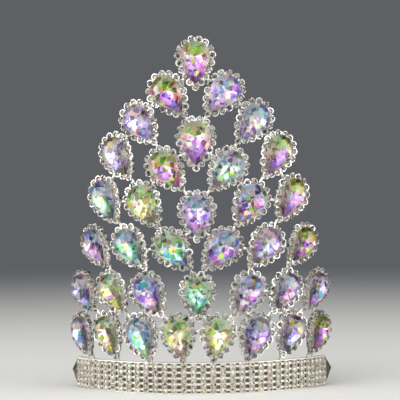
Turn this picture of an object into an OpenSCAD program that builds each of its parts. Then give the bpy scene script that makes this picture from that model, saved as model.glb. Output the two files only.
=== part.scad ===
// Tall pageant crown: eight rows of pear stones, each in a halo of small stones, on a curved band.
// The crown stands on its band. +Z is up, -Y is the front, and X runs across the forehead.

/* [Band] */
// Radius of the band's front face
band_r = 90; // [90:0.5:92]
// Height of the band
band_h = 17.8; // [17.8:0.1:20]
// Thickness of the band's metal strip
strip_t = 1.2; // [1:0.1:1.6]
// Angle from the middle to the end of the band's stones
field_angle = 54; // [54:0.5:56]
// Angle from the middle to the points at the band's ends
point_angle = 59.5; // [59:0.5:62]

/* [Band stones] */
// Number of stone rows on the band
band_rows = 5; // [4:1:5]
// Distance between stone rows
row_pitch = 3.33; // [3.3:0.01:3.4]
// Number of spaced stone columns on each side of the middle
spaced_columns = 13; // [10:1:13]
// Angle between spaced columns
column_pitch = 3.52; // [3.4:0.02:3.52]
// Number of close-set columns at each end
close_columns = 4; // [2:1:4]
// Diameter of a band stone
band_stone_d = 3.1; // [2.9:0.05:3.1]

/* [Pear settings] */
// Radius of a pear setting's round end, over its halo
pear_r = 11.8; // [11.6:0.1:11.8]
// Radius of a pear setting's bowed sides, over its halo
pear_side_r = 31; // [31:1:34]
// Radius of a pear setting's tip, over its halo
pear_tip_r = 2.6; // [2.4:0.05:2.6]
// Distance from the centre of the round end to the centre of the tip
pear_len = 17; // [16.6:0.1:17]
// Width of the halo
halo_w = 3.5; // [3.2:0.1:3.5]
// Thickness of the halo, front to back
halo_t = 2.6; // [2.2:0.1:2.8]
// Thickness of a setting's back plate
plate_t = 1; // [0.8:0.1:1.2]
// Height of the collet that holds the pear stone
collet_h = 2.5; // [2.2:0.1:2.7]
// Thickness of the collet's wall
collet_t = 0.5; // [0.4:0.1:0.6]
// Diameter of the soldered wires
wire_d = 1.6; // [1.4:0.1:1.6]

/* [Pear stones] */
// Height of the stone's crown above its girdle
crown_h = 2.3; // [1.8:0.1:2.8]
// Thickness of the girdle
girdle_t = 0.4; // [0.3:0.1:0.5]
// Number of sides round the stone
pear_sides = 14; // [12:2:16]

/* [Hidden] */
$fn = 64;
side_names = ["r", "l"];

// Pear places on the right-hand half of the wall.
// Columns: name, angle round the wall (degrees), height (mm), lean of the tip (degrees), size
PLACES = [
    ["1c", 0, 191.4, 0, 0.993],
    ["2", 10.6, 172.4, 38.5, 0.988],
    ["3", 21.3, 156.7, 39.5, 0.973],
    ["3c", 0, 146.0, 0, 1.008],
    ["4b", 30.4, 138.4, 33, 0.993],
    ["4a", 11.7, 130.0, 39, 0.973],
    ["5b", 36.03, 113.55, 34, 1.003],
    ["5a", 19.8, 110.7, 33, 0.982],
    ["5c", 0, 104.8, 0, 0.972],
    ["6d", 41.0, 86.1, 43, 0.949],
    ["6b", 25.52, 85.95, 40, 0.969],
    ["6a", 9.65, 84.4, 42.5, 0.969],
    ["7d", 47.6, 59.65, 41, 0.914],
    ["7b", 33.2, 59.95, 35.5, 0.944],
    ["7a", 18.3, 59.5, 32, 0.944],
    ["7c", 0, 59.45, 0, 0.914],
    ["8e", 48.7, 34.75, 31, 0.907],
    ["8d", 35.0, 36.0, 24.5, 0.927],
    ["8b", 21.0, 35.5, 20.5, 0.947],
    ["8a", 7.02, 35.8, 9, 0.925]
];

// Every pear on the wall, with the left-hand half mirrored from the right
PEARS = [for (p = PLACES) for (side = [0:1]) if (p[1] > 0 || side == 0)
    p[1] == 0 ? p : [str(p[0], side_names[side]), p[1] * (1 - 2 * side), p[2], p[3] * (1 - 2 * side), p[4]]];

function pear_node(p) = str("pear_", p[0]);

// Clearance between pieces that lie against each other, and below the girdle, over the collet's edge
clearance = 0.1;
girdle_clearance = 0.3;
// Plain rim above and below the stone rows
rim_h = (band_h - band_rows * row_pitch) / 2;
rim_t = 0.6;
// Ribs behind the stone columns and bars behind the stone rows
rib_t = 0.5;
rib_w = band_stone_d;
bar_t = 0.35;
bar_h = 1.2;
// Raised edge of the pointed ends, and how far they lap into the band
end_edge = 1;
end_lap = 1;
end_step = 0.15;
end_r = band_r - strip_t + 0.1;
// Distance from the last stones to the point, along the band
point_reach = band_r * (point_angle - field_angle) * PI / 180;
// Width of the close-set columns, as an angle
close_pitch = 2.15;
last_spaced = (spaced_columns - 0.5) * column_pitch;
// The settings' backs stand a little in front of the band's face
wall_r = band_r + 1;
halo_z = plate_t + clearance;
girdle_z = plate_t + collet_h + girdle_clearance;
table_z = girdle_z + girdle_t + crown_h;
// Inset of the plate's edge and of the stone's edge from the halo's edge
plate_inset = halo_w / 2;
stone_inset = halo_w + 0.15;
// Rows of stones are joined by a wire where their halos come this close
wire_reach = 2.4;
wire_grip = 3.2;
// Middle of the whole crown, front to back
front_y = -(wall_r + table_z);
back_y = -end_r * cos(field_angle + asin(point_reach / end_r));
shift_y = -(front_y + back_y) / 2;

// Each side of a pear is an arc that runs smoothly into the round end and the tip.
// Distances of the arc's centre across the pear and up it, seen from the round end's centre,
// and angles below level at which the arc meets the round end and the tip
bow_y = (pear_r - pear_tip_r) * (2 * pear_side_r - pear_r - pear_tip_r) / (2 * pear_len) - pear_len / 2;
bow_x = sqrt(pow(pear_side_r - pear_r, 2) - pow(bow_y, 2));
bow_end = atan2(bow_y, bow_x);
bow_tip = atan2(bow_y + pear_len, bow_x);
// The arcs are drawn this much smaller, so that they cross the round end and the tip cleanly
bow_trim = 0.05;

// Moves a shape drawn flat, with +Y up and +Z outwards, to its place on the wall
module on_wall(p) {
    translate([0, shift_y, 0])
        rotate([0, 0, p[1]])
            translate([0, -wall_r, p[2]])
                rotate([90, 0, 0])
                    rotate([0, 0, -p[3]])
                        children();
}

// Flat pear outline of one size, moved in by inset
module pear_shape(size, inset) {
    r = pear_r * size - inset;
    tip_r = pear_tip_r * size - inset;
    side_r = pear_side_r * size - inset - bow_trim;
    len = pear_len * size;
    top = -r * sin(bow_end);
    bottom = tip_r > 0.2 ? -len - tip_r * sin(bow_tip) : -len * 2;
    circle(r);
    if (tip_r > 0.2)
        translate([0, -len]) circle(tip_r);
    intersection() {
        translate([-bow_x * size, bow_y * size]) circle(side_r, $fn = 180);
        translate([bow_x * size, bow_y * size]) circle(side_r, $fn = 180);
        translate([-r, bottom]) square([2 * r, top - bottom]);
    }
}

// Straight round wire between two points
module wire(from, to, d) {
    run = to - from;
    translate(from)
        rotate([0, acos(run[2] / norm(run)), atan2(run[1], run[0])])
            cylinder(h = norm(run), d = d);
}

// Point in space of a spot x, y, z on the flat of pear p
function wall_point(p, spot) = [
    (wall_r + spot[2]) * sin(p[1]) + spot[0] * cos(p[1]),
    -(wall_r + spot[2]) * cos(p[1]) + spot[0] * sin(p[1]) + shift_y,
    p[2] + spot[1]
];

// Spot on a pear's middle line, from its round end (t = 0) to its tip (t = 1), and its half-width there
function axis_spot(p, t) = [-sin(p[3]), -cos(p[3])] * pear_len * p[4] * t;
function axis_half(p, t) = p[4] * (pear_side_r - norm([bow_x, bow_y + pear_len * t]));

// The wall laid out flat: place of a pear's centre
function laid_flat(p) = [wall_r * p[1] * PI / 180, p[2]];

// Gap between the halos of p and q, with the spots on both middle lines where it is least
function gap_at(p, q, t, u) = norm(laid_flat(q) + axis_spot(q, u) - laid_flat(p) - axis_spot(p, t))
    - axis_half(p, t) - axis_half(q, u);
function gaps(p, q) = [for (t = [0:0.1:1]) for (u = [0:0.1:1]) [gap_at(p, q, t, u), t, u]];
function least(list) = let(low = min([for (g = list) g[0]])) [for (g = list) if (g[0] == low) g][0];

// Soldered wire behind the halos of two neighbours
module solder_wire(p, q) {
    g = least(gaps(p, q));
    if (g[0] < wire_reach) {
        a = axis_spot(p, g[1]);
        b = axis_spot(q, g[2]);
        way = laid_flat(q) + b - laid_flat(p) - a;
        step = way / norm(way);
        from = a + step * (axis_half(p, g[1]) - wire_grip);
        to = b - step * (axis_half(q, g[2]) - wire_grip);
        depth = plate_t - wire_d / 2;
        wire(wall_point(p, [from[0], from[1], depth]), wall_point(q, [to[0], to[1], depth]), wire_d);
    }
}

// Post from the band's top edge to the tip of a bottom-row setting
module post(p) {
    tip = axis_spot(p, 0.93);
    angle = p[1] + atan2(tip[0], wall_r);
    foot_r = band_r - (strip_t - rim_t) / 2;
    foot = [foot_r * sin(angle), -foot_r * cos(angle) + shift_y, band_h - 1];
    wire(foot, wall_point(p, [tip[0], tip[1], plate_t - wire_d / 2]), wire_d);
}

// Back plate and collet of one pear setting
module setting(p) {
    on_wall(p) {
        linear_extrude(plate_t) pear_shape(p[4], plate_inset);
        difference() {
            linear_extrude(plate_t + collet_h) pear_shape(p[4], halo_w + clearance);
            translate([0, 0, plate_t]) linear_extrude(collet_h + 1)
                pear_shape(p[4], halo_w + clearance + collet_t);
        }
    }
}

// Part of a ring round the head with the given flat profile (distance from the axis, height)
module arc_sweep(profile, from, to) {
    translate([0, shift_y, 0])
        rotate([0, 0, from - 90])
            rotate_extrude(angle = to - from, $fn = 180)
                polygon(profile);
}

// Plain profile a little higher than the band at both edges
function box_profile(r_in, r_out) = [[r_in, -1], [r_out, -1], [r_out, band_h + 1], [r_in, band_h + 1]];

// Prism through the band at one end, drawn along the band from its last stones and up it
module end_prism(side, outline) {
    translate([0, shift_y, 0])
        rotate([0, 0, side * field_angle])
            translate([0, 5 - band_r, 0])
                rotate([90, 0, 0])
                    linear_extrude(10)
                        polygon([for (spot = outline) [side * spot[0], spot[1]]]);
}

// Triangle that points along the band, moved in from the edge of the metal
function point_outline(inset) = [
    [-end_lap + inset * 2, end_step + 1.6 * inset],
    [point_reach - 1.6 * inset, band_h * 0.55],
    [-end_lap + inset * 2, band_h - end_step - 1.6 * inset]
];

// Pointed plate at one end of the band, with a raised edge
module band_end(side) {
    from = side > 0 ? field_angle - 1.5 : -point_angle - 2;
    to = side > 0 ? point_angle + 2 : -field_angle + 1.5;
    intersection() {
        arc_sweep(box_profile(end_r, band_r - 0.1), from, to);
        end_prism(side, point_outline(0));
    }
    difference() {
        intersection() {
            arc_sweep(box_profile(band_r - 0.6, band_r + rim_t - 0.1), from, to);
            end_prism(side, point_outline(0));
        }
        end_prism(side, point_outline(end_edge));
    }
}

// Angles of all the stone columns on one side of the middle
function column_angles() = concat(
    [for (i = [0.5:1:spaced_columns]) i * column_pitch],
    [for (i = [1:close_columns]) last_spaced + i * close_pitch]
);
function stone_row_z(i) = rim_h + (i + 0.5) * row_pitch;

// Cross-section of the band: a strip with a rim at each edge and a bar behind each row of stones
function band_profile() = concat(
    [[band_r - strip_t, 0], [band_r + rim_t, 0], [band_r + rim_t, rim_h], [band_r, rim_h]],
    [for (i = [0:band_rows - 1]) each [
        [band_r, stone_row_z(i) - bar_h / 2], [band_r + bar_t, stone_row_z(i) - bar_h / 2],
        [band_r + bar_t, stone_row_z(i) + bar_h / 2], [band_r, stone_row_z(i) + bar_h / 2]
    ]],
    [[band_r, band_h - rim_h], [band_r + rim_t, band_h - rim_h], [band_r + rim_t, band_h],
        [band_r - strip_t, band_h]]
);

// Band with its pointed ends, and a rib behind each column of stones
module band() {
    arc_sweep(band_profile(), -field_angle, field_angle);
    for (angle = column_angles())
        for (side = [-1, 1])
            translate([0, shift_y, 0])
                rotate([0, 0, side * angle])
                    translate([-rib_w / 2, -band_r - rib_t, rim_h / 2])
                        cube([rib_w, rib_t + 0.2, band_h - rim_h]);
    for (side = [-1, 1])
        band_end(side);
}

// All the soldered metal in one piece
module frame() {
    color("silver") {
        union() {
            band();
            for (p = PEARS)
                if (p[0][0] == "8")
                    post(p);
        }
        union() {
            for (p = PEARS)
                setting(p);
            for (i = [0:len(PEARS) - 1])
                for (j = [i + 1:1:len(PEARS) - 1])
                    if (norm(laid_flat(PEARS[i]) - laid_flat(PEARS[j])) < 45)
                        solder_wire(PEARS[i], PEARS[j]);
        }
    }
}

// Chain of small stones round each pear, as a plain ring
module halos() {
    color("whitesmoke")
        for (p = PEARS)
            on_wall(p)
                translate([0, 0, halo_z])
                    linear_extrude(halo_t)
                        difference() {
                            pear_shape(p[4], 0);
                            pear_shape(p[4], halo_w);
                        }
}

// Triangles between two rings of n points, where ring b is turned half a step on from ring a
function zigzag(a, b, n) = [for (i = [0:n - 1]) each [
    [a + i, a + (i + 1) % n, b + i],
    [a + (i + 1) % n, b + (i + 1) % n, b + i]
]];

// Walls between two rings of n points that lie one above the other
function straight_wall(a, b, n) = [for (i = [0:n - 1]) [a + i, a + (i + 1) % n, b + (i + 1) % n, b + i]];

// Round cut stone with its point at the origin: eight sides, a table, and eight facets above and below
module round_stone(d) {
    n = 8;
    heights = [0.55, 0.63, 1] * d * 0.48;
    radii = [0.5, 0.5, 0.27] * d;
    rings = [for (k = [0:2]) for (i = [0:n - 1])
        [radii[k] * cos(i * 360 / n + 22.5), radii[k] * sin(i * 360 / n + 22.5), heights[k]]];
    polyhedron(
        points = concat([[0, 0, 0]], rings),
        faces = concat(
            [for (i = [0:n - 1]) [0, 1 + i, 1 + (i + 1) % n]],
            [for (f = straight_wall(1, 1 + n, n)) [f[3], f[2], f[1], f[0]]],
            [for (f = straight_wall(1 + n, 1 + 2 * n, n)) [f[3], f[2], f[1], f[0]]],
            [[for (i = [n - 1:-1:0]) 1 + 2 * n + i]]
        )
    );
}

// Rows and columns of round stones on the band
module band_stones() {
    color("white")
        for (angle = column_angles())
            for (side = [-1, 1])
                for (i = [0:band_rows - 1])
                    translate([0, shift_y, 0])
                        rotate([0, 0, side * angle])
                            translate([0, -(band_r + rib_t + clearance), stone_row_z(i)])
                                rotate([90, 0, 0])
                                    round_stone(band_stone_d);
}

// Point on a pear stone's right-hand edge, at part t of the way round from its sharp tip
function right_edge(size, t) = let(
    r = pear_r * size - stone_inset,
    side_r = pear_side_r * size - stone_inset,
    low = acos(bow_x * size / side_r),
    side = side_r * (low - bow_end) * PI / 180,
    way = t * 2 * (side + r * (90 + bow_end) * PI / 180),
    on_side = way / side_r * 180 / PI - low,
    on_end = (way - side) / r * 180 / PI - bow_end
) way < side ? [side_r * cos(on_side) - bow_x * size, side_r * sin(on_side) + bow_y * size]
    : [r * cos(on_end), r * sin(on_end)];
function stone_edge(size, t) = t > 0.5 ? [-right_edge(size, 1 - t)[0], right_edge(size, 1 - t)[1]]
    : right_edge(size, t);

// Ring of points on a stone's outline, scaled down by part, at height z and turned on by part of a step
function pear_ring(size, part, z, turn) = [for (i = [0:pear_sides - 1])
    let(p = stone_edge(size, ((i + turn) % pear_sides) / pear_sides) * part) [p[0], p[1], z]];

// Cut pear stone: culet, lower and upper pavilion, girdle, kite and star facets, and a flat table
module pear_stone(p) {
    n = pear_sides;
    rings = concat(
        pear_ring(p[4], 0.55, plate_t + collet_h * 0.38, 0.5),
        pear_ring(p[4], 1, girdle_z, 0),
        pear_ring(p[4], 1, girdle_z + girdle_t, 0),
        pear_ring(p[4], 0.82, girdle_z + girdle_t + crown_h * 0.6, 0.5),
        pear_ring(p[4], 0.58, table_z, 0)
    );
    color("lavender")
        on_wall(p)
            polyhedron(
                points = concat([[0, 0, plate_t + clearance]], rings),
                faces = concat(
                    [for (i = [0:n - 1]) [0, 1 + i, 1 + (i + 1) % n]],
                    zigzag(1 + n, 1, n),
                    [for (f = straight_wall(1 + n, 1 + 2 * n, n)) [f[3], f[2], f[1], f[0]]],
                    [for (f = zigzag(1 + 2 * n, 1 + 3 * n, n)) [f[2], f[1], f[0]]],
                    [for (i = [0:n - 1]) [1 + 3 * n + i, 1 + 4 * n + (i + 1) % n, 1 + 3 * n + (i + 1) % n]],
                    [for (i = [0:n - 1]) [1 + 3 * n + i, 1 + 4 * n + i, 1 + 4 * n + (i + 1) % n]],
                    [[for (i = [n - 1:-1:0]) 1 + 4 * n + i]]
                )
            );
}

frame();
halos();
band_stones();
for (p = PEARS)
    pear_stone(p);
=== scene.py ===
# %% [markdown]
# A tall pageant crown of coated crystal pears
#
# The crown is a curved wall of thirty-six pear-cut stones on a rhinestone band. The metal, the size
# of every setting and the place of every stone come from the imported frame. This lesson adds what the
# eye sees: the finish of the silver plate, the cut of the stones, the small stones of each halo with
# their cups, and a plain studio to look at them in. The frame is loaded first.

# %% Load the frame
import math
import random

import bmesh
import bpy
from mathutils import Matrix, Vector


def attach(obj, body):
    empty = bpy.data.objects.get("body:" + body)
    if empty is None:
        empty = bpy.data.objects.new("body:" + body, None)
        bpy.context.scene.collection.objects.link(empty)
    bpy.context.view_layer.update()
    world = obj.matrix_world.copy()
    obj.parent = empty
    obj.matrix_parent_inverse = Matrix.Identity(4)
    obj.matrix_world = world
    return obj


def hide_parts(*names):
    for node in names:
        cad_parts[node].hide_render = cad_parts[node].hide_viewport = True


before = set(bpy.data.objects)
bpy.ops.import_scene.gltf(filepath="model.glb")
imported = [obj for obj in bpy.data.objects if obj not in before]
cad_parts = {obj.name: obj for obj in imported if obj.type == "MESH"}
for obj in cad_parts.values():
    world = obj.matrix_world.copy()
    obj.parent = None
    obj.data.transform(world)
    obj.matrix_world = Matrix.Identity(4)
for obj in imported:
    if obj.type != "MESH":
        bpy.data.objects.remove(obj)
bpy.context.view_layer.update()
MM = 0.001
print("nodes in the frame:", len(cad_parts))

# %% [markdown]
# Colours and nodes
#
# Colours are written as sRGB hex values, the way a paint chart gives them, while Blender mixes light
# in linear values. One function turns the first into the second. Another adds a shader node, sets it
# and links it, so that each material below reads as a list of what it is made of. Nodes could be
# added by hand in the editor too, but then nobody could read how a finish was made.

# %% Small tools for materials
def linear(hex_code):
    """The linear colour of an sRGB hex value."""
    parts = [int(hex_code[i:i + 2], 16) / 255 for i in (1, 3, 5)]
    return [c / 12.92 if c <= 0.04045 else ((c + 0.055) / 1.055) ** 2.4 for c in parts] + [1.0]


def add_node(tree, kind, settings=None, links=None):
    """Adds a node. A setting is a property or, where the node has one of that name, a socket."""
    node = tree.nodes.new(kind)
    for name, value in (settings or {}).items():
        if isinstance(name, int) or name in node.inputs:
            node.inputs[name].default_value = value
        else:
            setattr(node, name, value)
    for name, source in (links or {}).items():
        tree.links.new(source, node.inputs[name])
    return node


def new_material(name):
    """An empty material and its node tree."""
    material = bpy.data.materials.new(name)
    material.use_nodes = True
    material.node_tree.nodes.clear()
    return material, material.node_tree


def show(tree, shader):
    """Makes a shader the surface of its material."""
    add_node(tree, "ShaderNodeOutputMaterial", links={"Surface": shader.outputs[0]})


print("a mid grey, #808080, is %.3f in linear values" % linear("#808080")[0])

# %% [markdown]
# Where the wall stands
#
# The band and all the settings lie on one round wall. Every pear's culet, the point at the back of
# the stone, is at one distance from the axis of that wall, so the middle stone gives the axis, and
# each stone's own mesh gives its place: the culet is its vertex nearest the axis, and the tip is the
# one furthest from the culet. A list of places would do too, but reading them from the frame keeps
# the looks on the metal without any fitting.

# %% Find the axis and the place of each pear
# The part's own sizes: the radius of the band, the wall of settings just outside it, and how far
# out from that wall every culet lies.
BAND_R = 90 * MM
WALL_R = BAND_R + 1 * MM
CULET_Z = 1.1 * MM
# At full size, the radius of a pear's round end with its halo. The halo and a gap lie round the stone.
PEAR_R = 11.8 * MM
HALO_W = 3.5 * MM
STONE_INSET = HALO_W + 0.15 * MM

pear_names = sorted(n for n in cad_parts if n.startswith("pear_"))
axis_y = max(v.co.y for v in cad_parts["pear_1c"].data.vertices) + WALL_R + CULET_Z


def wall_distance(point):
    """How far a point lies from the axis of the wall."""
    return math.hypot(point.x, point.y - axis_y)


def facing(origin, up, out):
    """Matrix that puts a shape on the wall: its x to the right, its y along up, and its z outwards."""
    return Matrix.Translation(origin) @ Matrix((up.cross(out), up, out)).transposed().to_4x4()


def pear_place(name):
    """Matrix from a pear's own flat, with y to its round end, to the crown, and the pear's size."""
    points = [v.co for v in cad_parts[name].data.vertices]
    culet = min(points, key=wall_distance)
    out = Vector((culet.x, culet.y - axis_y, 0)).normalized()
    tip = max(points, key=lambda p: ((p - culet) - (p - culet).dot(out) * out).length)
    way = (tip - culet) - (tip - culet).dot(out) * out
    up = -way.normalized()
    girdle_r = max((p - culet).dot(up) for p in points)
    origin = Vector((0, axis_y, culet.z)) + out * WALL_R
    return facing(origin, up, out), (girdle_r + STONE_INSET) / PEAR_R


places = {name: pear_place(name) for name in pear_names}
sizes = [size for _, size in places.values()]
print("axis at y = %.2f mm, sizes from %.3f to %.3f" % (axis_y / MM, min(sizes), max(sizes)))

# %% [markdown]
# The outline of a pear
#
# A pear's edge is made of arcs that run into each other: a small circle at the tip, a long bowed arc
# up each side, and most of a circle over the top. Moved in from the halo's edge, the same arcs give
# the middle line of the halo and the edge of the stone, where the sides meet in a sharp tip. So one
# function serves both. It walks round the arcs and gives a point, its outward direction and the whole
# length. A curve object would give points too, but not their directions or an exact inset.

# %% Walk round a pear's edge
# Radii of the sides and of the tip, and the way from the round end's centre to the tip's.
PEAR_SIDE_R = 31 * MM
PEAR_TIP_R = 2.6 * MM
PEAR_LEN = 17 * MM
# Centre of a side's arc, and the angles at which it meets the round end and the tip.
BOW_Y = (PEAR_R - PEAR_TIP_R) * (2 * PEAR_SIDE_R - PEAR_R - PEAR_TIP_R) / (2 * PEAR_LEN) - PEAR_LEN / 2
BOW_X = math.sqrt((PEAR_SIDE_R - PEAR_R) ** 2 - BOW_Y ** 2)
BOW_END = math.atan2(BOW_Y, BOW_X)
BOW_TIP = math.atan2(BOW_Y + PEAR_LEN, BOW_X)
# Slack for rounding where one arc ends and the next begins, in radians.
ROUNDING = 1e-6
# The glass laps over the inner claws of its halo, so it is cut this much wider than its solid.
LAP = 0.4 * MM
GLASS_INSET = STONE_INSET - LAP


def half_edge(size, inset):
    """Arcs of the right-hand edge from the tip up, as centre, radius, first angle and last angle."""
    end_r, side_r, tip_r = (r * size - inset for r in (PEAR_R, PEAR_SIDE_R, PEAR_TIP_R))
    tip = [(Vector((0, -PEAR_LEN * size)), tip_r, -math.pi / 2, -BOW_TIP)] if tip_r > 0 else []
    low = BOW_TIP if tip else math.acos(BOW_X * size / side_r)
    side = (Vector((-BOW_X, BOW_Y)) * size, side_r, -low, -BOW_END)
    return tip + [side, (Vector((0, 0)), end_r, -BOW_END, math.pi / 2)]


def edge_spot(size, inset, way):
    """Point at a share of the way round from the tip, its outward direction, and the edge's length."""
    arcs = half_edge(size, inset)
    half = sum(radius * (last - first) for _, radius, first, last in arcs)
    run = 2 * half * min(way, 1 - way)
    for centre, radius, first, last in arcs:
        angle = first + run / radius
        if angle <= last + ROUNDING:
            break
        run -= radius * (last - first)
    spot = centre + radius * Vector((math.cos(angle), math.sin(angle)))
    if way > 0.5:
        return Vector((-spot.x, spot.y, 0)), math.pi - angle, 2 * half
    return Vector((spot.x, spot.y, 0)), angle, 2 * half


STONE_R = PEAR_R - GLASS_INSET
TIP_REACH = -edge_spot(1, GLASS_INSET, 0)[0].y
print("a stone of size 1 is %.1f mm wide and %.1f mm long" % (2 * STONE_R / MM, (STONE_R + TIP_REACH) / MM))

# %% [markdown]
# Grinding a facet
#
# A lapidary grinds a stone one flat facet at a time. The same can be done here: a block is cut by
# planes with bisect_plane, and each cut is closed with a flat face. Rings of points joined by hand
# would need a list for every row, and no facet would be sure to be flat. Every plane meets the pear's
# outline and rises to a point over the stone's middle, so one number, the rise, sets a whole ring of
# facets.

# %% The grinder
# Points closer than this to a cut are on it, in metres.
ON_THE_CUT = 1e-7
(SIDE_CENTRE, SIDE_R, TIP_SIDE, _), _ = half_edge(1, GLASS_INSET)


def reach(azimuth):
    """How far the stone's edge reaches in one direction, in degrees. The tip is at -90."""
    from_tip = (azimuth + 90) % 360
    level = math.radians(min(from_tip, 360 - from_tip) - 90)
    if level >= -BOW_END:
        return STONE_R
    if level <= TIP_SIDE:
        return -TIP_REACH * math.sin(level)
    return SIDE_R + SIDE_CENTRE.x * math.cos(level) + SIDE_CENTRE.y * math.sin(level)


def slice_off(stone, point, normal):
    """Takes away what lies beyond a plane, and closes the cut with one flat face."""
    cut = bmesh.ops.bisect_plane(
        stone, geom=stone.verts[:] + stone.edges[:] + stone.faces[:], dist=ON_THE_CUT,
        plane_co=point, plane_no=normal.normalized(), clear_outer=True)
    rim = [e for e in cut["geom_cut"] if isinstance(e, bmesh.types.BMEdge)]
    if len(rim) > 2:
        bmesh.ops.edgeloop_fill(stone, edges=rim)


def grind(stone, azimuth, height, rise, part=1.0):
    """Cuts one facet from the outline, or a part of it, at one height up to the rise over the middle.

    The pavilion's facets have a negative rise, and the girdle's upright ones have none.
    """
    turn = math.radians(azimuth)
    edge = reach(azimuth) * part
    normal = Vector((math.cos(turn) * abs(rise), math.sin(turn) * abs(rise), math.copysign(edge, rise)))
    if rise == 0:
        normal = Vector((math.cos(turn), math.sin(turn), 0))
    slice_off(stone, Vector((math.cos(turn) * edge, math.sin(turn) * edge, height)), normal)


def spread(count, shift=0.0):
    """Directions at even steps along the edge, from one side of the tip over the top to the other."""
    last = count if shift == 0 else count - 1
    return [math.degrees(edge_spot(1, GLASS_INSET, (i + shift) / count)[1]) for i in range(last + 1)]


print("the edge reaches %.1f mm to the side and %.1f mm to the tip" % (reach(0) / MM, reach(-90) / MM))

# %% [markdown]
# The pear cut
#
# A pear stone has a flat table in front, a crown of facets that slope from it to the girdle, and a
# pavilion behind that runs to the culet in three tiers, each steeper than the one nearer the culet.
# The inner tier's facets meet in the culet. The other two are aimed at points behind it, and are cut
# off before they get there. One stone is cut here at full size, and a copy is set in every setting.

# %% Cut one pear stone
GIRDLE_LOW = 3.8 * MM
GIRDLE_TOP = 4.2 * MM
TABLE_Z = 6.5 * MM
MAINS = 8
TIP = -90
# Turn from the tip's own facet to those beside it, in the crown and in the stars.
TIP_FAN = 28
STAR_FAN = 14
# How far the crown's facets rise from the edge to the middle, and where the stars start.
CROWN_RISE = 5.4 * MM
UPPER_RISE = 6.1 * MM
STAR_RISE = 1.4 * MM
STAR_PART = 0.52
# Heights of the inner and the middle tier at the edge, and the points that the outer two aim at.
INNER_STEP = 3.15 * MM
MIDDLE_STEP = 3.56 * MM
MIDDLE_AIM = 0.78 * MM
OUTER_AIM = 0.2 * MM
BLOCK = (40 * MM, 60 * MM, TABLE_Z - CULET_Z)

pear_cut = bmesh.new()
bmesh.ops.create_cube(pear_cut, size=1)
bmesh.ops.scale(pear_cut, vec=BLOCK, verts=pear_cut.verts)
bmesh.ops.translate(pear_cut, vec=(0, 0, (TABLE_Z + CULET_Z) / 2), verts=pear_cut.verts)
for azimuth in spread(MAINS * 3):
    grind(pear_cut, azimuth, GIRDLE_LOW, 0)
# Crown: mains with the tip's own facets, upper girdle facets, and stars round the table.
for azimuth in spread(MAINS) + [TIP, TIP - TIP_FAN, TIP + TIP_FAN]:
    grind(pear_cut, azimuth, GIRDLE_TOP, CROWN_RISE)
for azimuth in spread(MAINS * 2, 0.5):
    grind(pear_cut, azimuth, GIRDLE_TOP, UPPER_RISE)
for azimuth in spread(MAINS, 0.5) + [TIP - STAR_FAN, TIP + STAR_FAN]:
    grind(pear_cut, azimuth, TABLE_Z, STAR_RISE, STAR_PART)
# Pavilion: the inner, the middle and the outer tier.
for azimuth in spread(MAINS - 2, 0.5) + [TIP]:
    grind(pear_cut, azimuth, INNER_STEP, CULET_Z - INNER_STEP)
for azimuth in spread(MAINS + 2):
    grind(pear_cut, azimuth, MIDDLE_STEP, MIDDLE_AIM - MIDDLE_STEP)
for azimuth in spread(MAINS * 2 + 2, 0.5):
    grind(pear_cut, azimuth, GIRDLE_LOW, OUTER_AIM - GIRDLE_LOW)
print("pear cut:", len(pear_cut.faces), "facets")

# %% [markdown]
# Splitting the long facets
#
# Seen through the crown, the back of a real stone breaks into many small patches, because each facet
# of the crown shows another part of it. A crown with that many facets would be slow to look clean, so
# the pavilion's facets are split instead. The lines of one set rise from the middle to the sides, and
# the lines of the other fall. The parts stay flat, and only their colours will differ.

# %% Split the pavilion
# Where a line crosses the middle, and its slant.
RISING_LINES = [(y * MM, -0.55) for y in (-1.5, -5, -8.5, -11.5)]
FALLING_LINES = [(y * MM, 0.8) for y in (5.5, 1.5, -3, -7)]
for split, slant in RISING_LINES + FALLING_LINES:
    for side in (-1, 1):
        behind = [f for f in pear_cut.faces if f.normal.z < 0 and f.calc_center_median().x * side > 0]
        edges = {e for f in behind for e in f.edges}
        verts = {v for f in behind for v in f.verts}
        bmesh.ops.bisect_plane(pear_cut, geom=list(verts) + list(edges) + behind, dist=ON_THE_CUT,
                               plane_co=(0, split, CULET_Z), plane_no=(slant * side, 1, 0))
bmesh.ops.recalc_face_normals(pear_cut, faces=pear_cut.faces)
print("pear cut with its long facets split:", len(pear_cut.faces), "facets")

# %% [markdown]
# What the coating does to each facet
#
# The rainbow coating is a metal oxide film a few hundred nanometres thick on the back of the stone.
# It shows another colour for each tilt of a facet, from green and yellow through pink and violet to
# blue and back to green. A thin-film shader would need many more samples to look clean, so each
# facet's colour is worked out once and kept on the mesh as a colour attribute. Here is the film's
# cycle of colours. A facet shows it pale or strong, and lighter or darker: its white flashes are
# painted highlights and its dark shards painted shade.

# %% Colours of the coating
COATING = ("#a4f83c", "#dcfa44", "#fcea50", "#fcb884", "#fa84cc", "#ec6cf8", "#b474fc", "#8684fc",
           "#68a8fc", "#5cd0f8", "#5aeecc", "#60f06c")


def film_and_flash_colour(place_on_cycle, strength, light):
    """Film colour at one place on its cycle, paler or stronger, and painted darker or lighter."""
    spot = (place_on_cycle % 1) * len(COATING)
    first = linear(COATING[int(spot) % len(COATING)])
    second = linear(COATING[(int(spot) + 1) % len(COATING)])
    part = spot - int(spot)
    pure = [a * (1 - part) + b * part for a, b in zip(first[:3], second[:3])]
    return [light * (1 - strength + strength * c) for c in pure] + [1.0]


print("the film's cycle has", len(COATING), "colours")
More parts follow.
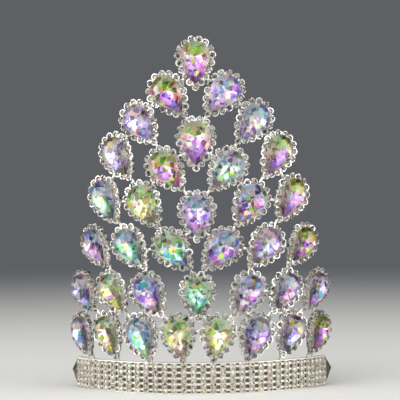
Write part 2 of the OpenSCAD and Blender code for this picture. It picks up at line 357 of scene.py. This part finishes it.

# %% [markdown]
# How the film was laid on
#
# The stones come from several batches, and in each the film starts and ends at another colour: green
# above and violet at the tip, or blue above and pink at the tip, and so on. Inside a stone the
# colour follows the way that a facet faces, wanders a little, and now and then jumps to the film's
# next order. The facets under the middle of the table face the viewer and the lights, so painted
# shade dims them, or they would flash white. A noise texture could vary the colours too, but it would
# cut across the facets, and a real facet is nearly of one colour.

# %% Coat a stone
# Where on the cycle a film is at a stone's top and at its tip, how far its facets wander from that,
# how much stronger its colours are at both ends, and the stones that it lies on.
FILMS = (
    (-0.03, 0.55, 0.05, 1.8, "1c 3c"),
    (0.0, 0.48, 0.07, 1.0, "2l 4al 4br 5br 6dr 8er"),
    (0.70, 0.36, 0.15, 0.4, "2r 3r 5ar 5c 6dl 6ar 7al 7br 7ar 8br"),
    (0.50, 0.90, 0.18, 0.3, "4ar 5bl 6bl 8bl"),
    (0.14, -0.30, 0.15, 0.4, "6al 7c"),
    (0.30, 0.58, 0.18, 0.3, "3l 4bl 6br 7dl 7dr 8el 8dr"),
    (-0.09, 0.2, 0.15, 0.5, "5al 7bl 8dl 8al 8ar"))
film_of = {stone: film[:4] for film in FILMS for stone in film[4].split()}
# How much of the pure colour a facet shows, and how light it is: painted white flashes, pastels, and
# dark shards of painted shade.
STRENGTHS = (0.0, 0.1, 0.35, 0.75, 1.0)
LIGHTS = (0.25, 0.65, 1.0, 1.0, 1.0)
# Share of the facets that show the next order of the film, and its limes and yellows.
STRAY_SHARE = 0.1
STRAY_SPOTS = (0.02, 0.1, 0.18, 0.27)
# Facets that lean less than this, as a sine, are under the middle of the table: how far they are
# turned on the cycle, and how much painted shade dims them.
MIDDLE_LEAN = 0.42
MIDDLE_TURN = 0.08
MIDDLE_DIM = 0.75
# How fast the colour slides across a facet, in cycles a metre.
SLIDE = 20
# One seeded source serves all that is random, so that every run gives the same crown.
SEED = 7
chance = random.Random(SEED)


def coat(stone, lean, film):
    """Gives every facet its colour, with painted flashes and shade.

    The film's top is at the crown's top, however the stone leans.
    """
    layer = stone.loops.layers.float_color.new("coating_and_flashes")
    top_spot, tip_spot, wander, ends = film
    for face in stone.faces:
        level = math.sin(math.atan2(face.normal.y, face.normal.x) - lean)
        middling = max(0, 1 - math.hypot(face.normal.x, face.normal.y) / MIDDLE_LEAN)
        spot = tip_spot + (top_spot - tip_spot) * (1 + level) / 2 + MIDDLE_TURN * middling
        spot += chance.uniform(-wander, wander)
        if chance.random() < STRAY_SHARE:
            spot = chance.choice(STRAY_SPOTS)
        strength = chance.choice(STRENGTHS)
        strength += (1 - strength) * min(1, ends * level * level)
        # Painted light and shade: how light the facet is, dimmed further under the table's middle.
        light = chance.choice(LIGHTS) * (1 - MIDDLE_DIM * middling)
        middle = face.calc_center_median()
        for loop in face.loops:
            slide = SLIDE * (loop.vert.co - middle).x
            loop[layer] = film_and_flash_colour(spot + slide, strength, light)


print(len(FILMS), "films lie on", len(film_of), "stones")

# %% [markdown]
# Crystal and its foil
#
# The stones are pressed lead crystal, polished all over. From the front the eye looks through the
# clear crown at the coated back facets, which are foiled and work as little mirrors. So each stone
# has two finishes: clear glass on the crown, and a foil on the back that takes the coating's colour
# with painted flashes and painted shade among its facets.
# One opaque colour would be simpler, but then nothing would move behind the table as the view turns.

# %% Crystal materials
LEAD_CRYSTAL_IOR = 1.56


def clear_crystal(name, tint):
    """Polished lead crystal. It gives sharp glints on the table and bends what lies behind it."""
    material, tree = new_material(name)
    show(tree, add_node(tree, "ShaderNodeBsdfPrincipled", {
        "Base Color": linear(tint), "Roughness": 0.0, "IOR": LEAD_CRYSTAL_IOR,
        "Transmission Weight": 1.0}))
    return material


def foil(name, attribute, roughness, heart=None):
    """Mirror foil behind a stone, in the colours kept on the mesh, times the tone kept as heart."""
    material, tree = new_material(name)
    colour = add_node(tree, "ShaderNodeAttribute", {"attribute_name": attribute}).outputs["Color"]
    if heart is not None:
        tone = add_node(tree, "ShaderNodeAttribute", {"attribute_name": heart})
        colour = add_node(tree, "ShaderNodeMix", {"data_type": "RGBA", "blend_type": "MULTIPLY", 0: 1.0},
                          {6: colour, 7: tone.outputs["Fac"]}).outputs[2]
    show(tree, add_node(tree, "ShaderNodeBsdfPrincipled", {"Metallic": 1.0, "Roughness": roughness},
                        {"Base Color": colour}))
    return material


# Colourless crystal, and a coated foil that is smooth enough to flash and to keep its facets apart.
pear_glass = clear_crystal("polished_crystal", "#ffffff")
pear_foil = foil("coated_foil", "coating_and_flashes", roughness=0.3)
# The small stones' glass is a little warm. Their foil is duller, so that they glow more than flash.
small_glass = clear_crystal("pressed_crystal", "#fffdf6")
small_foil = foil("silver_foil", "silvering_and_glints", roughness=0.45, heart="heart")
print("crystal materials:", pear_glass.name, pear_foil.name, small_glass.name, small_foil.name)

# %% [markdown]
# A stone in every setting
#
# A setter drops each pear into its collet, with the table outwards. The cut stone is copied, coated,
# given its foil, scaled to its setting and moved there with the matrix that was read from the frame.
# Instances of one mesh would be lighter, but then every stone would have the same colours. Each stone
# replaces its plain solid and rides where the solid did.

# %% Set a stone in every pear setting
# Facets whose normal has less than this share forwards, the girdle's among them, take the foil.
FORWARDS = 0.2


def foil_back(stone):
    """Gives the girdle and the facets behind it the second material, the foil."""
    for face in stone.faces:
        face.material_index = 1 if face.normal.z < FORWARDS else 0


def to_object(shape, name, materials):
    """Turns a finished bmesh into an object of the scene."""
    mesh = bpy.data.meshes.new(name)
    shape.to_mesh(mesh)
    shape.free()
    for material in materials:
        mesh.materials.append(material)
    piece = bpy.data.objects.new(name, mesh)
    bpy.context.scene.collection.objects.link(piece)
    return piece


for name in pear_names:
    place, size = places[name]
    stone = pear_cut.copy()
    lean = math.atan2(-place[2][0], place[2][1])
    coat(stone, lean, film_of[name.removeprefix("pear_")])
    foil_back(stone)
    wider = (PEAR_R * size - GLASS_INSET) / STONE_R
    bmesh.ops.transform(stone, matrix=place @ Matrix.Diagonal((wider, wider, 1, 1)), verts=stone.verts)
    piece = to_object(stone, name.replace("pear", "crystal"), [pear_glass, pear_foil])
    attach(piece, "root")
    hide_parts(name)
print("pear stones set:", len(pear_names))

# %% [markdown]
# A claw cup
#
# A rhinestone chain is a row of small metal cups, each holding one round stone with four claws bent
# over its edge. One cup is modelled, and copies of it are set along a line later. The cup is a short
# cylinder of few sides, as there are hundreds of them. Its lid is inset once to leave a flat rim and
# once more for the slope of the wall, and is then lowered to be the cup's floor. A claw is a small
# block whose top is narrowed and leans over the stone.

# %% Model the halo's cup
CUP_SIDES = 12
# The foot's share of the mouth's radius, and how far the inner wall slopes in.
CUP_TAPER = 0.94
WALL_SLOPE = 0.04 * MM
# A claw's thickness, how far its top leans in, its top's share of its width, and where on the cup's
# height it starts.
CLAW_T = 0.4 * MM
CLAW_LEAN = 0.3 * MM
CLAW_POINT = 0.6
CLAW_FOOT = 0.3
QUARTERS = (45, 135, 225, 315)


def make_cup(radius, depth, rim, floor_z, claw_r, claw_w, claw_top):
    """Cup that stands on the origin, with its four claws at a distance, of a width and up to a height."""
    cup = bmesh.new()
    bmesh.ops.create_cone(cup, cap_ends=True, segments=CUP_SIDES, radius1=radius * CUP_TAPER,
                          radius2=radius, depth=depth, matrix=Matrix.Translation((0, 0, depth / 2)))
    lid = max(cup.faces, key=lambda f: f.calc_center_median().z)
    for thickness in (rim, WALL_SLOPE):
        bmesh.ops.inset_region(cup, faces=[lid], thickness=thickness, use_even_offset=True)
    bmesh.ops.translate(cup, vec=(0, 0, floor_z - depth), verts=lid.verts)
    foot = depth * CLAW_FOOT
    for azimuth in QUARTERS:
        claw = bmesh.ops.create_cube(cup, size=1)["verts"]
        bmesh.ops.scale(cup, vec=(CLAW_T, claw_w, claw_top - foot), verts=claw)
        bmesh.ops.translate(cup, vec=(claw_r, 0, (foot + claw_top) / 2), verts=claw)
        top = [v for v in claw if v.co.z > (foot + claw_top) / 2]
        bmesh.ops.translate(cup, vec=(-CLAW_LEAN, 0, 0), verts=top)
        bmesh.ops.scale(cup, vec=(1, CLAW_POINT, 1), verts=top)
        bmesh.ops.transform(cup, matrix=Matrix.Rotation(math.radians(azimuth), 4, "Z"), verts=claw)
    return cup


HALO_CUP_R = 2.08 * MM
halo_cup = make_cup(radius=HALO_CUP_R, depth=1.55 * MM, rim=0.36 * MM, floor_z=0.4 * MM,
                    claw_r=1.85 * MM, claw_w=0.5 * MM, claw_top=2.1 * MM)
print("a halo cup is %.1f mm wide and has %d faces" % (2 * HALO_CUP_R / MM, len(halo_cup.faces)))

# %% [markdown]
# A small round stone
#
# The small stones are chatons: a low crown of eight facets round a table, and a cone behind with a
# foil. Like the pears they are cut from a block, here a cylinder of sixteen sides, whose base is then
# drawn in to be the cone. The foil is darker at the cone's end, where a real stone turns the light
# away from the eye, and that tone is kept on the mesh as the stone's heart.

# %% Cut the halo's round stone
CHATON_SIDES = 16
CHATON_MAINS = 8
# How much the mains lean out, and the stars, which start at a share of the radius and of the height.
MAIN_LEAN = 0.62
STAR_LEAN = 0.3
STAR_REACH = 0.68
STAR_HEIGHT = 0.72
# The base's share of the radius.
HEART_R = 0.3


def make_chaton(radius, girdle_z, table_z, heart):
    """Round stone with a crown of mains and stars, and the tone of its foil at the end of the cone."""
    stone = bmesh.new()
    bmesh.ops.create_cone(stone, cap_ends=True, segments=CHATON_SIDES, radius1=radius, radius2=radius,
                          depth=table_z, matrix=Matrix.Translation((0, 0, table_z / 2)))
    star_z = girdle_z + (table_z - girdle_z) * STAR_HEIGHT
    for step in range(CHATON_MAINS):
        for shift, lean, edge, height in (
                (0, MAIN_LEAN, radius, girdle_z), (0.5, STAR_LEAN, radius * STAR_REACH, star_z)):
            turn = 2 * math.pi * (step + shift) / CHATON_MAINS
            slice_off(stone, Vector((math.cos(turn) * edge, math.sin(turn) * edge, height)),
                      Vector((math.cos(turn) * lean, math.sin(turn) * lean, 1)))
    base = min(stone.faces, key=lambda f: f.calc_center_median().z)
    bmesh.ops.scale(stone, vec=(HEART_R, HEART_R, 1), verts=base.verts)
    bmesh.ops.recalc_face_normals(stone, faces=stone.faces)
    layer = stone.verts.layers.float.new("heart")
    for vert in stone.verts:
        vert[layer] = heart if vert in base.verts else 1.0
    foil_back(stone)
    return stone


HALO_STONE_R = 1.68 * MM
HALO_STONE_LIFT = 0.5 * MM
halo_chaton = make_chaton(HALO_STONE_R, girdle_z=1.0 * MM, table_z=1.75 * MM, heart=0.55)
bmesh.ops.translate(halo_chaton, vec=(0, 0, HALO_STONE_LIFT), verts=halo_chaton.verts)
print("a small stone is %.1f mm wide and has %d facets" % (2 * HALO_STONE_R / MM, len(halo_chaton.faces)))

# %% [markdown]
# Silver plate
#
# The cups, the claws and the frame are stamped and soldered brass with bright silver plate. It gives
# the eye crisp highlights that are a little soft, and of uneven softness, because the plate follows
# the grain of the metal under it. So one noise varies the roughness and lifts a faint bump. The halo
# cups are smaller and more dented than the band's. A bump for that is too fine to show at this size,
# so there each face takes its own tone instead: a painted glint or painted shade for the light that a
# dent would catch or lose.

# %% Silver materials
# The real grain is finer, and is drawn as coarse as it needs to show.
PLATE_GRAIN = 0.6 * MM
GRAIN_HEIGHT = 0.05 * MM
GRAIN_BUMP = 0.25
# The grain runs the roughness between these shares of it.
LEAST_ROUGH = 0.7
MOST_ROUGH = 1.5


def plated_silver(name, roughness):
    """Bright silver plate, a little uneven. Gives the material and its shader, which has no colour yet."""
    material, tree = new_material(name)
    coords = add_node(tree, "ShaderNodeTexCoord").outputs["Object"]
    noise = add_node(tree, "ShaderNodeTexNoise", {"Scale": 1 / PLATE_GRAIN, "Detail": 3.0},
                     {"Vector": coords})
    rough = add_node(tree, "ShaderNodeMapRange",
                     {"To Min": roughness * LEAST_ROUGH, "To Max": roughness * MOST_ROUGH},
                     {"Value": noise.outputs[0]})
    bump = add_node(tree, "ShaderNodeBump", {"Strength": GRAIN_BUMP, "Distance": GRAIN_HEIGHT},
                    {"Height": noise.outputs[0]})
    shader = add_node(tree, "ShaderNodeBsdfPrincipled", {"Metallic": 1.0},
                      {"Roughness": rough.outputs[0], "Normal": bump.outputs[0]})
    show(tree, shader)
    return material, shader


# The band's cups show one warm silver, and the halos' cups the tones kept on the mesh, which are
# painted glints and painted shade.
silver, shader = plated_silver("silver_plate", roughness=0.3)
shader.inputs["Base Color"].default_value = linear("#e2ded4")
cup_silver, shader = plated_silver("silver_plate_painted_glints", roughness=0.26)
tones = add_node(cup_silver.node_tree, "ShaderNodeAttribute", {"attribute_name": "silvering_and_glints"})
cup_silver.node_tree.links.new(tones.outputs["Color"], shader.inputs["Base Color"])
print("silver materials:", silver.name, cup_silver.name)

# %% [markdown]
# Many copies in one piece
#
# The crown has hundreds of cups and of small stones, and each kind is to be one piece. An array
# modifier on a curve would space them, but it would bend them and give them all one tilt. So linked
# copies are put on their spots one by one, and Blender's join makes one mesh of them. After that each
# face takes one of a few tones, as painted glints and painted shade. They stand for the light on the
# dents of the cups, and for painted reflections of other parts of the room in each facet of a small
# stone.

# %% Tools for fields of small pieces
# Painted glints and shade of the dented cups, and painted reflections in the small stones' foil,
# which also has a touch of the rainbow coating's own tint.
CUP_GLINT_TONES = ("#484642", "#a4a098", "#dedad0", "#f8f5ee", "#ffffff", "#ffffff")
FOIL_TINTS_AND_GLINTS = ("#3c3a36", "#8a867e", "#e0dcd4", "#ffffff", "#ffffff", "#f9d6c2", "#ecd6f0", "#daf0d6")


def array_of(shape, name, spots, materials):
    """Copies a shape to every spot, which is a matrix, and joins the copies into one piece."""
    mesh = bpy.data.meshes.new(name)
    shape.to_mesh(mesh)
    shape.free()
    for material in materials:
        mesh.materials.append(material)
    copies = []
    for spot in spots:
        copy = bpy.data.objects.new(name, mesh)
        copy.matrix_world = spot
        bpy.context.scene.collection.objects.link(copy)
        copies.append(copy)
    bpy.context.view_layer.update()
    with bpy.context.temp_override(active_object=copies[0], selected_editable_objects=copies):
        bpy.ops.object.join()
    piece = copies[0]
    piece.data.transform(piece.matrix_world)
    piece.matrix_world = Matrix.Identity(4)
    return piece


def silvering_and_glints(piece, tones):
    """Gives each face of a field of cups or small stones one of the tones, which paint glints and shade."""
    layer = piece.data.attributes.new("silvering_and_glints", "FLOAT_COLOR", "FACE")
    for value in layer.data:
        value.color = linear(chance.choice(tones))


print("tones of the cups:", len(CUP_GLINT_TONES), "and of the small stones:", len(FOIL_TINTS_AND_GLINTS))

# %% [markdown]
# A halo round every pear
#
# The chain runs round each pear on the middle line of its halo. The small stones stand on that line
# at even steps, the first at the tip, and each is tilted a few degrees at random, as a soldered chain
# never lies quite flat. Stones that all stood true would mirror the same lights and look drawn.

# %% Lay the halo chains
# How far out the cups stand, how far in from the halo's edge the chain runs, and its pitch.
HALO_Z = 1.15 * MM
HALO_INSET = 1.98 * MM
HALO_PITCH = 4.35 * MM
# A cup leans up to this many degrees each way.
MOST_TILT = 8


def random_tilt(axis):
    """Matrix of a small random tilt about one axis."""
    return Matrix.Rotation(math.radians(chance.uniform(-MOST_TILT, MOST_TILT)), 4, axis)


halo_spots = []
for name in pear_names:
    place, size = places[name]
    count = round(edge_spot(size, HALO_INSET, 0)[2] / HALO_PITCH)
    for i in range(count):
        spot, angle, _ = edge_spot(size, HALO_INSET, i / count)
        spot.z = HALO_Z
        tilt = random_tilt("X") @ random_tilt("Y")
        halo_spots.append(place @ Matrix.Translation(spot) @ Matrix.Rotation(angle, 4, "Z") @ tilt)
halo_cups = array_of(halo_cup, "halo_cups", halo_spots, [cup_silver])
# The cups' faces take painted glints and painted shade.
silvering_and_glints(halo_cups, CUP_GLINT_TONES)
halo_stones = array_of(halo_chaton, "halo_stones", halo_spots, [small_glass, small_foil])
# The small stones' foil takes painted reflections, with a touch of the coating's tint.
silvering_and_glints(halo_stones, FOIL_TINTS_AND_GLINTS)
for piece, finish in ((halo_cups, "silver_metal"), (halo_stones, "halo_chain")):
    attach(piece, "root")
    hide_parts("halos")
    print(piece.name, "of", len(halo_spots), "copies:", len(piece.data.polygons), "faces")

# %% [markdown]
# Where the band's stones are
#
# The strip, its bars and the solids of its small stones come from the frame, and only the cups, the
# claws and the finished stones are missing. Counting columns and rows again would repeat the band's
# sizes here, so each stone's place is read from the mesh instead: its points are gathered by walking
# along its edges, and the middle of their turns and heights is where its cup goes. The solids are
# loose triangles, so a copy of the mesh is merged first.

# %% Find the band's stones
# Points closer than this are one point of a solid, in metres.
SAME_POINT = 1e-6


def loose_solids(mesh):
    """Lists of the points of each loose solid in a mesh."""
    shape = bmesh.new()
    shape.from_mesh(mesh)
    bmesh.ops.remove_doubles(shape, verts=shape.verts, dist=SAME_POINT)
    left = set(shape.verts)
    solids = []
    while left:
        reached = [left.pop()]
        for vert in reached:
            near = {edge.other_vert(vert) for edge in vert.link_edges} & left
            left -= near
            reached.extend(near)
        solids.append([vert.co.copy() for vert in reached])
    shape.free()
    return solids


def halfway(values):
    """The value halfway between the least and the greatest."""
    return (min(values) + max(values)) / 2


band_places = []
for points in loose_solids(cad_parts["band_stones"].data):
    turn = halfway([math.degrees(math.atan2(p.x, axis_y - p.y)) for p in points])
    back = min(wall_distance(p) for p in points)
    band_places.append((round(abs(turn)), turn > 0, halfway([p.z for p in points]), turn, back))
# From the middle outwards, the left-hand column of a pair first, and up each column. The columns are
# two degrees or more apart, so whole degrees tell them apart.
band_places.sort()
print("band stones:", len(band_places), "up to %.1f degrees from the middle" % band_places[-1][3])

# %% [markdown]
# Cups and stones of the band
#
# The band's stones sit shallower and closer than the halos', in cups with low broad claws that nearly
# meet their neighbours' and look like a net. The same two functions make them, with other sizes.
# Their foil isn't darkened at the heart, because the band's stones look evenly bright.

# %% Fill the band
# The cups start a little behind the backs of the frame's plain stones.
CUP_SINK = 0.15 * MM
BAND_STONE_R = 1.5 * MM
BAND_STONE_LIFT = 0.2 * MM
band_spots = []
for _, _, height, turn, back in band_places:
    out = Vector((math.sin(math.radians(turn)), -math.cos(math.radians(turn)), 0))
    origin = Vector((0, axis_y, height)) + out * (back - CUP_SINK)
    band_spots.append(facing(origin, Vector((0, 0, 1)), out))
band_cup = make_cup(radius=1.7 * MM, depth=1.0 * MM, rim=0.16 * MM, floor_z=0.1 * MM,
                    claw_r=1.95 * MM, claw_w=1.0 * MM, claw_top=1.55 * MM)
band_chaton = make_chaton(BAND_STONE_R, girdle_z=0.8 * MM, table_z=1.35 * MM, heart=1.0)
bmesh.ops.translate(band_chaton, vec=(0, 0, BAND_STONE_LIFT), verts=band_chaton.verts)
band_cups = array_of(band_cup, "band_cups", band_spots, [silver])
band_chatons = array_of(band_chaton, "band_chatons", band_spots, [small_glass, small_foil])
# The band's small stones take the same painted reflections in their foil.
silvering_and_glints(band_chatons, FOIL_TINTS_AND_GLINTS)
for piece, finish in ((band_cups, "silver_metal"), (band_chatons, "clear_crystal")):
    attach(piece, "root")
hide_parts("band_stones")
print("band cups:", len(band_spots))

# %% [markdown]
# The frame's silver
#
# The frame keeps its own mesh from the part and only gets a finish: the same bright plate, with
# painted shade in the sunk ground between the band's bars, which is too shallow to fall dark by
# itself. A mask drawn on the mesh would need UVs, which this mesh doesn't have. The ground is simply
# the part of the band that lies nearer to the wall's axis than the bars' tops do, so the distance
# from that axis is the mask.

# %% Plate the frame
PLATE_TINT = "#f2efe2"
# Painted shade for the sunk ground between the bars.
SUNK_SHADE_TINT = "#6a6456"
# The painted shade lies between these distances from the axis. Behind them is the band's back, which
# keeps the bright plate.
SUNK_FROM = BAND_R - 0.8 * MM
SUNK_TO = BAND_R + 0.25 * MM
frame_silver, shader = plated_silver("silver_plate_with_painted_shade", roughness=0.3)
tree = frame_silver.node_tree
coords = add_node(tree, "ShaderNodeTexCoord").outputs["Object"]
from_axis = add_node(tree, "ShaderNodeVectorMath", {"operation": "SUBTRACT", 1: (0, axis_y, 0)},
                     {0: coords})
flat = add_node(tree, "ShaderNodeVectorMath", {"operation": "MULTIPLY", 1: (1, 1, 0)},
                {0: from_axis.outputs[0]})
distance = add_node(tree, "ShaderNodeVectorMath", {"operation": "LENGTH"}, {0: flat.outputs[0]})
# A mask of the sunk ground, which takes the painted shade.
below = add_node(tree, "ShaderNodeMath", {"operation": "LESS_THAN", 1: SUNK_TO},
                 {0: distance.outputs["Value"]})
before = add_node(tree, "ShaderNodeMath", {"operation": "GREATER_THAN", 1: SUNK_FROM},
                  {0: distance.outputs["Value"]})
sunk = add_node(tree, "ShaderNodeMath", {"operation": "MULTIPLY"},
                {0: below.outputs[0], 1: before.outputs[0]})
tint = add_node(tree, "ShaderNodeMix",
                {"data_type": "RGBA", 6: linear(PLATE_TINT), 7: linear(SUNK_SHADE_TINT)}, {0: sunk.outputs[0]})
tree.links.new(tint.outputs[2], shader.inputs["Base Color"])
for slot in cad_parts["frame"].material_slots:
    slot.material = frame_silver
print("the plate is dark from %.2f to %.2f mm from the axis" % (SUNK_FROM / MM, SUNK_TO / MM))

# %% [markdown]
# The floor
#
# The crown stands on a sheet of pale studio paper. A sheet that ends would show its edge in the view
# from above, and one that curves up would need a wall behind every view. So the floor is a wide disc
# that fades into the plain room before the eye reaches its edge. The paper is matt, with a faint
# mottle that keeps the large plain surface from looking empty.

# %% Lay the floor
FLOOR_R = 12.0
# Where the floor starts to fade and where it is gone, in metres from the crown.
FADE_FROM = 0.2
FADE_TO = 1.6
# Paper mottles over a few millimetres, between two near tints, which shows at the crown's foot.
PAPER_MOTTLE = 5.56 * MM
PAPER_TINTS = ("#bebdb9", "#c6c5c1")
ground = bmesh.new()
bmesh.ops.create_circle(ground, cap_ends=True, segments=64, radius=FLOOR_R)
bmesh.ops.recalc_face_normals(ground, faces=ground.faces)
paper, tree = new_material("studio_paper")
coords = add_node(tree, "ShaderNodeTexCoord").outputs["Object"]
away = add_node(tree, "ShaderNodeVectorMath", {"operation": "LENGTH"}, {0: coords})
fading = add_node(tree, "ShaderNodeMapRange",
                  {"interpolation_type": "SMOOTHSTEP", "From Min": FADE_FROM, "From Max": FADE_TO},
                  {"Value": away.outputs["Value"]})
mottle = add_node(tree, "ShaderNodeTexNoise", {"Scale": 1 / PAPER_MOTTLE, "Detail": 4.0},
                  {"Vector": coords})
tint = add_node(tree, "ShaderNodeMix",
                {"data_type": "RGBA", 6: linear(PAPER_TINTS[0]), 7: linear(PAPER_TINTS[1])},
                {0: mottle.outputs[0]})
matt = add_node(tree, "ShaderNodeBsdfPrincipled", {"Roughness": 0.85}, {"Base Color": tint.outputs[2]})
clear = add_node(tree, "ShaderNodeBsdfTransparent")
show(tree, add_node(tree, "ShaderNodeMixShader",
                    links={0: fading.outputs[0], 1: matt.outputs[0], 2: clear.outputs[0]}))
floor = to_object(ground, "studio_floor", [paper])
print("the floor fades out from %.1f to %.1f m from the crown" % (FADE_FROM, FADE_TO))

# %% [markdown]
# The light
#
# Crystal shows what it reflects, so five soft boxes in a dim grey room give its facets both light and
# dark. The boxes are large and not too bright, because small bright ones turn the flashes plain white
# and hide the coating's colours. A picture of a room would reflect more richly, but it would be a file
# from outside.

# %% Set up the room and the soft boxes
ROOM_GREY = "#5e6064"
LOOK_AT = Vector((0, 0, 0.1))
# Name, place, width and height in metres, and watts.
SOFT_BOXES = (
    ("key_light", (-0.8, -1.2, 1.1), 1.5, 1.5, 24),
    ("right_box", (1.3, -0.7, 0.5), 1.1, 1.5, 19),
    ("left_box", (-1.3, -0.6, 0.3), 1.1, 1.5, 17),
    ("top_light", (0.1, -0.5, 1.5), 1.7, 1.0, 19),
    ("front_box", (0.3, -2.2, 0.6), 1.8, 1.1, 10))


def soft_box(name, place, width, height, watts):
    """Rectangular soft light that looks at the crown and isn't seen itself."""
    light = bpy.data.lights.new(name, "AREA")
    light.shape = "RECTANGLE"
    light.size = width
    light.size_y = height
    light.energy = watts
    lamp = bpy.data.objects.new(name, light)
    bpy.context.scene.collection.objects.link(lamp)
    lamp.visible_camera = False
    turn = (LOOK_AT - Vector(place)).to_track_quat("-Z", "Y").to_matrix().to_4x4()
    lamp.matrix_world = Matrix.Translation(place) @ turn


for row in SOFT_BOXES:
    soft_box(*row)
room = bpy.data.worlds.new("studio_room")
room.use_nodes = True
room.node_tree.nodes["Background"].inputs["Color"].default_value = linear(ROOM_GREY)
bpy.context.scene.world = room
print("soft boxes:", len(SOFT_BOXES), "with", sum(row[4] for row in SOFT_BOXES), "watts")

# %% [markdown]
# The camera
#
# The camera was placed from the photograph: how far, how high and how far round to the right it
# stands, and a small roll, because the crown leans a little in the picture. The distance came from
# how much the outer stones narrow and the band's edges bend. The lens is a focal length in pixels of
# the 400 pixel picture, turned to millimetres, and drawn back a little to leave room at the foot.

# %% Place the camera
AXIS_TO_CAMERA = 915.4 * MM
CAMERA_HEIGHT = 111.3 * MM
# In degrees.
CAMERA_ROUND = 2.16
CAMERA_ROLL = 0.59
# The picture's width, the focal length, the column of the wall's axis, and how far the foot is lifted.
IMAGE_PX = 400
PHOTO_FOCAL_PX = 1500
AXIS_PX = 202.9
FOOT_LIFT_PX = 2
ZOOM_OUT = 0.97
SENSOR_MM = 36
camera_data = bpy.data.cameras.new("camera")
camera_data.sensor_width = SENSOR_MM
camera_data.sensor_fit = "HORIZONTAL"
camera_data.lens = PHOTO_FOCAL_PX * ZOOM_OUT * SENSOR_MM / IMAGE_PX
camera_data.shift_x = (IMAGE_PX / 2 - AXIS_PX) * ZOOM_OUT / IMAGE_PX
camera_data.shift_y = -FOOT_LIFT_PX / IMAGE_PX
turn = math.radians(CAMERA_ROUND)
camera = bpy.data.objects.new("camera", camera_data)
camera.location = (AXIS_TO_CAMERA * math.sin(turn), axis_y - AXIS_TO_CAMERA * math.cos(turn),
                   CAMERA_HEIGHT)
camera.rotation_euler = (math.radians(90), math.radians(CAMERA_ROLL), turn)
bpy.context.scene.collection.objects.link(camera)
bpy.context.scene.camera = camera
# The standard view keeps the coating's colours as pure as they are lit.
bpy.context.scene.view_settings.view_transform = "Standard"
print("the lens is %.1f mm" % camera_data.lens)
